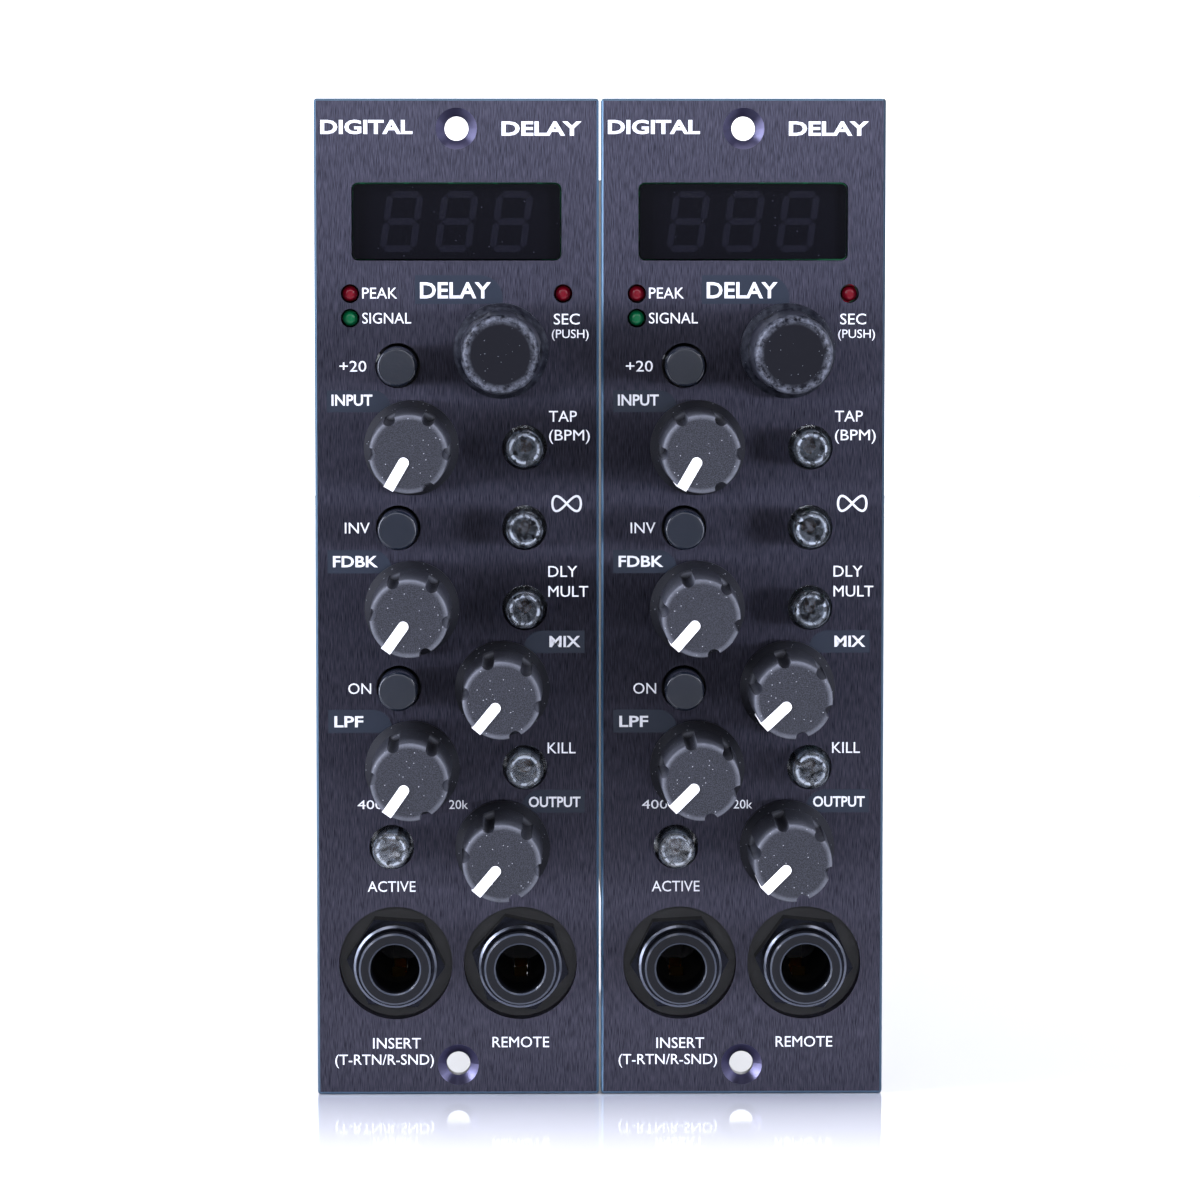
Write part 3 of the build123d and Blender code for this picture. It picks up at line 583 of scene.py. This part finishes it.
unlit_segment = new_finish("unlit_segment_tint", "#101018", 0.1, Specular_IOR_Level=0.35)
give_grain(unlit_segment, 0.8 * mm, 0.005 * mm)
digit_pitch = 7.3 * mm
digit_half_width = 2.0 * mm
digit_half_height = 3.6 * mm
segment_width = 0.9 * mm
segment_thickness = 0.04 * mm
segment_gap = 0.25 * mm
segment_point = 0.45 * segment_width
digit_lean = Matrix.Identity(4)
digit_lean[0][2] = math.tan(math.radians(8))
segment_sizes = {
    "flat": (2 * digit_half_width - segment_gap, segment_thickness, segment_width),
    "upright": (segment_width, segment_thickness, digit_half_height - segment_gap),
}
segments = {}
for kind, size in segment_sizes.items():
    select_none()
    bpy.ops.mesh.primitive_cube_add(size=1)
    bpy.context.object.scale = size
    segments[kind] = finish_mesh(kind + "_segment")
    bevel_edges(segments[kind], lambda a, b: abs(a.y - b.y) > segment_thickness / 2, segment_point, 1)
    segments[kind].data.materials.append(unlit_segment)
# Three flat segments lie above each other, and four upright ones stand at the sides.
bars_at = [("flat", 0, step * digit_half_height) for step in (-1, 0, 1)]
bars_at += [("upright", x * digit_half_width, z * digit_half_height / 2) for x in (-1, 1) for z in (-1, 1)]
bars = []
for kind, x, z in bars_at:
    bars.append(copy_piece(segments[kind], "bar", digit_lean @ Matrix.Translation((x, 0, z))))
digit = join(bars, "digit")
pane_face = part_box("display_windows")[0][1]
display_low, display_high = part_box("display_blocks")
display_z = (display_low[2] + display_high[2]) / 2
for side in sides:
    low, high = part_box(side + "_front_panel")
    centre_x = (low[0] + high[0]) / 2
    places = [(centre_x + step * digit_pitch, pane_face, display_z) for step in (-1, 0, 1)]
    copies = [copy_piece(digit, "digit", Matrix.Translation(place)) for place in places]
    digits = join(copies, side + "_digit_segments")
    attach(digits, "module_pair")
for model in (digit, *segments.values()):
    bpy.data.objects.remove(model)

# ---------- Lamps ----------
# Round epoxy lamps with tinted lenses, soldered to the control board, all unlit.
# The lens is glossy and looks dark because nothing shines in it.
red_lens = new_finish("red_epoxy_lens", "#600314", 0.18, Specular_IOR_Level=0.25)
green_lens = new_finish("green_epoxy_lens", "#035330", 0.18, Specular_IOR_Level=0.25)
amber_lens = new_finish("amber_tinted_epoxy", "#5A4030", 0.2, IOR=1.5)
for lens in (red_lens, green_lens, amber_lens):
    give_grain(lens, 0.5 * mm, 0.01 * mm)
cover_node("red_lamps", red_lens)
cover_node("green_lamps", green_lens)
cover_node("button_lamps", amber_lens)

# ---------- Black buttons ----------
# Flat-faced moulded caps with a satin skin, pushed on the plungers of latching switches.
# The skin is finely grained, so the face stays dark and only its rim catches the light.
satin_black = new_finish("satin_black_abs", "#141923", 0.22, Specular_IOR_Level=0.4)
give_grain(satin_black, 0.35 * mm, 0.01 * mm, detail=4.0)
for side in sides:
    for name in ("boost", "invert", "on"):
        cover_node(f"{side}_{name}_button", satin_black)


# ---------- Clear buttons ----------
# Clear polished acrylic cups over the button lamps.
# The wall is hazy and rippled from moulding, and the face over the lamp is clearer.
def distance_from_axis(finish, width):
    """Distance from a round node's middle, seen from the front, in the unit of its given width."""
    place = add_node(finish, "TexCoord")
    from_middle = add_node(
        finish, "Mapping",
        {"Vector": place.outputs["Generated"], "Location": (-0.5, 0, -0.5), "Scale": (1, 0, 1)},
    )
    share = add_node(finish, "VectorMath", {0: from_middle.outputs[0]}, operation="LENGTH")
    return add_node(finish, "Math", {0: share.outputs["Value"], 1: width}, operation="MULTIPLY").outputs[0]


# The cup's width and the three values for its hazy wall are in millimetres.
clear_cup_width = 7.2
hazy_wall_radius = 1.85
hazy_wall_core = 0.06
hazy_wall_half = 0.3
clear_acrylic = new_finish("clear_acrylic", "#C6CEDA", 0.08, IOR=1.49)
cup_place = add_node(clear_acrylic, "TexCoord")
wall = add_node(
    clear_acrylic, "Math",
    {0: distance_from_axis(clear_acrylic, clear_cup_width), 1: hazy_wall_radius},
    operation="SUBTRACT",
)
off_wall = add_node(clear_acrylic, "Math", {0: wall.outputs[0]}, operation="ABSOLUTE")
in_wall = add_node(
    clear_acrylic, "MapRange",
    {
        "Value": off_wall.outputs[0],
        "From Min": hazy_wall_core,
        "From Max": hazy_wall_half,
        "To Min": 0.6,
        "To Max": 0.07,
    },
)
facet_point = add_node(clear_acrylic, "Mapping", {"Vector": cup_place.outputs["Object"], "Scale": (1, 0, 1)})
facet = add_node(clear_acrylic, "TexVoronoi", {"Vector": facet_point.outputs[0], "Scale": 1 / (0.6 * mm)})
facet_light = add_node(clear_acrylic, "SeparateColor", {0: facet.outputs["Color"]})
haze = add_node(
    clear_acrylic, "Math", {0: in_wall.outputs[0], 1: facet_light.outputs[0]}, operation="MULTIPLY"
)
clearness = add_node(clear_acrylic, "Math", {0: 1.0, 1: haze.outputs[0]}, operation="SUBTRACT")
link(clear_acrylic, clearness.outputs[0], "Transmission Weight")
give_grain(clear_acrylic, 1.2 * mm, 0.06 * mm, detail=1.0)
for side in sides:
    for name in ("tap", "hold", "multiply", "kill", "active"):
        cover_node(f"{side}_{name}_button", clear_acrylic)

# ---------- Knobs ----------
# Soft-touch rubber over a stiff core, moulded with a skirt and grip flutes.
# The skin is matt and dusty. Its edges are paler, partly rubbed and partly a painted highlight, and its skirt
# has painted shade.
pots = ("input", "feedback", "mix", "filter", "output")
# These radii, and the ring's below, are in millimetres. A ramp's positions are shares of its span.
knob_width = 12.65
ramp_span = 10.0
skirt_start = 5.2
skirt_full = 5.5
rim_start = 4.4
rim_full = 5.0
rim_end = 5.25
soft_touch = new_finish("soft_touch_rubber", "#1C1C20", 0.6, Specular_IOR_Level=0.25)
knob_place = add_node(soft_touch, "TexCoord").outputs["Object"]
mottle = add_node(
    soft_touch, "TexNoise",
    {"Vector": knob_place, "Scale": 1 / (0.13 * mm), "Detail": 3.0, "Roughness": 0.7},
)
tone = add_node(soft_touch, "ValToRGB", {"Fac": mottle.outputs[0]})
tone.color_ramp.elements[0].position = 0.42
tone.color_ramp.elements[0].color = linear("#131419")
tone.color_ramp.elements[1].position = 0.72
tone.color_ramp.elements[1].color = linear("#3A3C46")
knob_radius = distance_from_axis(soft_touch, knob_width)
rim_share = add_node(soft_touch, "Math", {0: knob_radius, 1: 1 / ramp_span}, operation="MULTIPLY")
# A paler band at the rim, broken up by patchy noise: partly rubbed wear, partly a painted highlight.
rim_wear_and_highlight_band = add_node(soft_touch, "ValToRGB", {"Fac": rim_share.outputs[0]})
rim_wear_and_highlight_band.color_ramp.elements[0].position = rim_start / ramp_span
rim_wear_and_highlight_band.color_ramp.elements[0].color = (0, 0, 0, 1)
rim_wear_and_highlight_band.color_ramp.elements[1].position = rim_full / ramp_span
rim_wear_and_highlight_band.color_ramp.elements[1].color = (1, 1, 1, 1)
past_rim = rim_wear_and_highlight_band.color_ramp.elements.new(rim_end / ramp_span)
past_rim.color = (0, 0, 0, 1)
patchy = add_node(
    soft_touch, "TexNoise",
    {"Vector": knob_place, "Scale": 1 / (2.5 * mm), "Detail": 5.0, "Roughness": 0.7},
)
rim_wear_and_highlight = add_node(
    soft_touch, "Math", {0: rim_wear_and_highlight_band.outputs[0], 1: patchy.outputs[0]}, operation="MULTIPLY"
)
# Painted shade: from the edge of the top outwards, the skirt is darkened.
painted_skirt_shade = add_node(
    soft_touch, "MapRange",
    {"Value": knob_radius, "From Min": skirt_start, "From Max": skirt_full, "To Min": 0.0, "To Max": 0.8},
)
tone_with_painted_skirt_shade = add_node(
    soft_touch, "MixRGB",
    {"Fac": painted_skirt_shade.outputs[0], "Color1": tone.outputs[0], "Color2": linear("#0E0E13")},
)
tone_with_rim_wear_and_highlight = add_node(
    soft_touch, "MixRGB",
    {"Fac": rim_wear_and_highlight.outputs[0], "Color1": tone_with_painted_skirt_shade.outputs[0], "Color2": linear("#74767F")},
)
grit = add_node(soft_touch, "TexVoronoi", {"Vector": knob_place, "Scale": 1 / (0.8 * mm)})
grit_spot = add_node(soft_touch, "Math", {0: grit.outputs["Distance"], 1: 0.09}, operation="LESS_THAN")
gritty = add_node(
    soft_touch, "MixRGB",
    {"Fac": grit_spot.outputs[0], "Color1": tone_with_rim_wear_and_highlight.outputs[0], "Color2": linear("#8A8C94")},
)
link(soft_touch, gritty.outputs[0], "Base Color")
give_grain(soft_touch, 0.25 * mm, 0.03 * mm, detail=3.0)
# The delay knob is turned most, so its skin is worn smooth, with a pale ring where fingers rub.
ring_start = 3.8
ring_full = 4.7
ring_end = 5.3
worn_rubber = new_finish("worn_smooth_rubber", "#101014", 0.42, Specular_IOR_Level=0.12)
worn_place = add_node(worn_rubber, "TexCoord").outputs["Object"]
rub = add_node(
    worn_rubber, "TexNoise",
    {"Vector": worn_place, "Scale": 1 / (1.1 * mm), "Detail": 6.0, "Roughness": 0.75},
)
ring_share = add_node(
    worn_rubber, "Math",
    {0: distance_from_axis(worn_rubber, knob_width), 1: 1 / ramp_span},
    operation="MULTIPLY",
)
ring = add_node(worn_rubber, "ValToRGB", {"Fac": ring_share.outputs[0]})
ring.color_ramp.elements[0].position = ring_start / ramp_span
ring.color_ramp.elements[0].color = (0, 0, 0, 1)
ring.color_ramp.elements[1].position = ring_full / ramp_span
ring.color_ramp.elements[1].color = (1, 1, 1, 1)
past_ring = ring.color_ramp.elements.new(ring_end / ramp_span)
past_ring.color = (0.16, 0.16, 0.16, 1)
rub_contrast = add_node(worn_rubber, "MapRange", {"Value": rub.outputs[0], "From Min": 0.4, "From Max": 0.65})
worn_ring = add_node(
    worn_rubber, "Math", {0: ring.outputs[0], 1: rub_contrast.outputs[0]}, operation="MULTIPLY"
)
rubbed = add_node(
    worn_rubber, "MixRGB",
    {"Fac": worn_ring.outputs[0], "Color1": linear("#06070F"), "Color2": linear("#6A6D78")},
)
specks = add_node(worn_rubber, "TexVoronoi", {"Vector": worn_place, "Scale": 1 / (0.7 * mm)})
speck = add_node(worn_rubber, "Math", {0: specks.outputs["Distance"], 1: 0.07}, operation="LESS_THAN")
dusty = add_node(
    worn_rubber, "MixRGB",
    {"Fac": speck.outputs[0], "Color1": rubbed.outputs[0], "Color2": linear("#7A7C86")},
)
link(worn_rubber, dusty.outputs[0], "Base Color")
for side in sides:
    cover_node(side + "_delay_knob", worn_rubber)
    for name in pots:
        cover_node(f"{side}_{name}_knob", soft_touch)

# ---------- Pointers ----------
# A white moulded strip let into each pot knob, from near its centre over the edge and down its side.
# Its inner end is round, and its outer end follows the knob's crown. Angles are in degrees.
pointer_width = 1.4 * mm
pointer_start = 0.6 * mm
pointer_proud = 0.12 * mm
pointer_depth = 14.0 * mm
knob_top_radius = 5.15 * mm
knob_foot_radius = 5.4 * mm
knob_crown = 0.5 * mm
pointer_angles = {
    "left": {"input": 30, "feedback": 35.5, "filter": 35, "mix": 39.5, "output": 40},
    "right": {"input": 30, "feedback": 41, "filter": 45, "mix": 47, "output": 45},
}
pointer_white = new_finish("white_pointer_plastic", "#F2F2F2", 0.45)
give_grain(pointer_white, 0.3 * mm, 0.01 * mm, detail=3.0)
strip_middle = (pointer_start + knob_top_radius) / 2
half_depth = pointer_depth / 2
select_none()
bpy.ops.mesh.primitive_cube_add(size=1, location=(strip_middle, half_depth - pointer_proud, 0))
bpy.context.object.scale = (knob_top_radius - pointer_start, pointer_depth, pointer_width)
strip = finish_mesh("pointer_strip")
for vertex in strip.data.vertices:
    if vertex.co.x > strip_middle:
        vertex.co.x += pointer_proud
        if vertex.co.y > half_depth:
            vertex.co.x += knob_foot_radius - knob_top_radius
bevel_edges(
    strip,
    lambda a, b: max(a.x, b.x) < strip_middle and abs(a.y - b.y) > half_depth,
    0.49 * pointer_width, 6,
)
bevel_edges(
    strip,
    lambda a, b: min(a.x, b.x) > strip_middle and max(a.y, b.y) < half_depth,
    knob_crown, 5,
)
strip.data.materials.append(pointer_white)
for side in sides:
    for name in pots:
        node = f"{side}_{name}_knob"
        low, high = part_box(node)
        knob_top = Matrix.Translation(((low[0] + high[0]) / 2, low[1], (low[2] + high[2]) / 2))
        turn = Matrix.Rotation(math.radians(90 + pointer_angles[side][name]), 4, "Y")
        pointer = copy_piece(strip, f"{side}_{name}_pointer", knob_top @ turn)
        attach(pointer, node)
bpy.data.objects.remove(strip)

# ---------- Jacks ----------
# Moulded jacks with threaded bushings and nuts in dark plating, and brass contact strips.
# The nuts' corners and the bushings' lips have paler copies of their finishes, as painted highlights.
dark_nickel = new_finish("black_nickel_plate", "#131419", 0.2, 1.0)
give_grain(dark_nickel, 0.5 * mm, 0.012 * mm, detail=4.0)
cover_node("jack_nuts", dark_nickel)
# Painted highlight: a paler copy of the plating on the nuts' chamfered corners.
corner_painted_highlight = new_finish("nickel_corner_painted_highlight", "#80848F", 0.3, 1.0)
give_grain(corner_painted_highlight, 0.4 * mm, 0.02 * mm, detail=4.0)
cover_faces("jack_nuts", corner_painted_highlight, lambda c, n: wall_slant < abs(n.y) < face_slant)
bushing_finish = new_finish("black_moulded_bushing", "#0D0E13", 0.5, Specular_IOR_Level=0.15)
give_grain(bushing_finish, 0.3 * mm, 0.02 * mm, detail=4.0)
cover_node("jack_housings", bushing_finish)
# Painted highlight: a paler, glossier copy of the bushing's finish on its slanted lip faces in front of the
# panel.
bushing_lip = new_finish("bushing_lip_painted_highlight", "#3C4049", 0.2, Specular_IOR_Level=0.5)
give_grain(bushing_lip, 0.3 * mm, 0.01 * mm, detail=4.0)
cover_faces(
    "jack_housings", bushing_lip,
    lambda c, n: wall_slant < abs(n.y) < face_slant and c.y < panel_face,
)
# Behind the panel the housing is plain black nylon.
cover_faces("jack_housings", black_nylon, lambda c, n: c.y > 0)
brass = new_finish("contact_brass", "#A8843E", 0.35, 1.0)
give_grain(brass, 0.3 * mm, 0.01 * mm, stretch=(1, 0.2, 1))
cover_node("jack_contacts", brass)
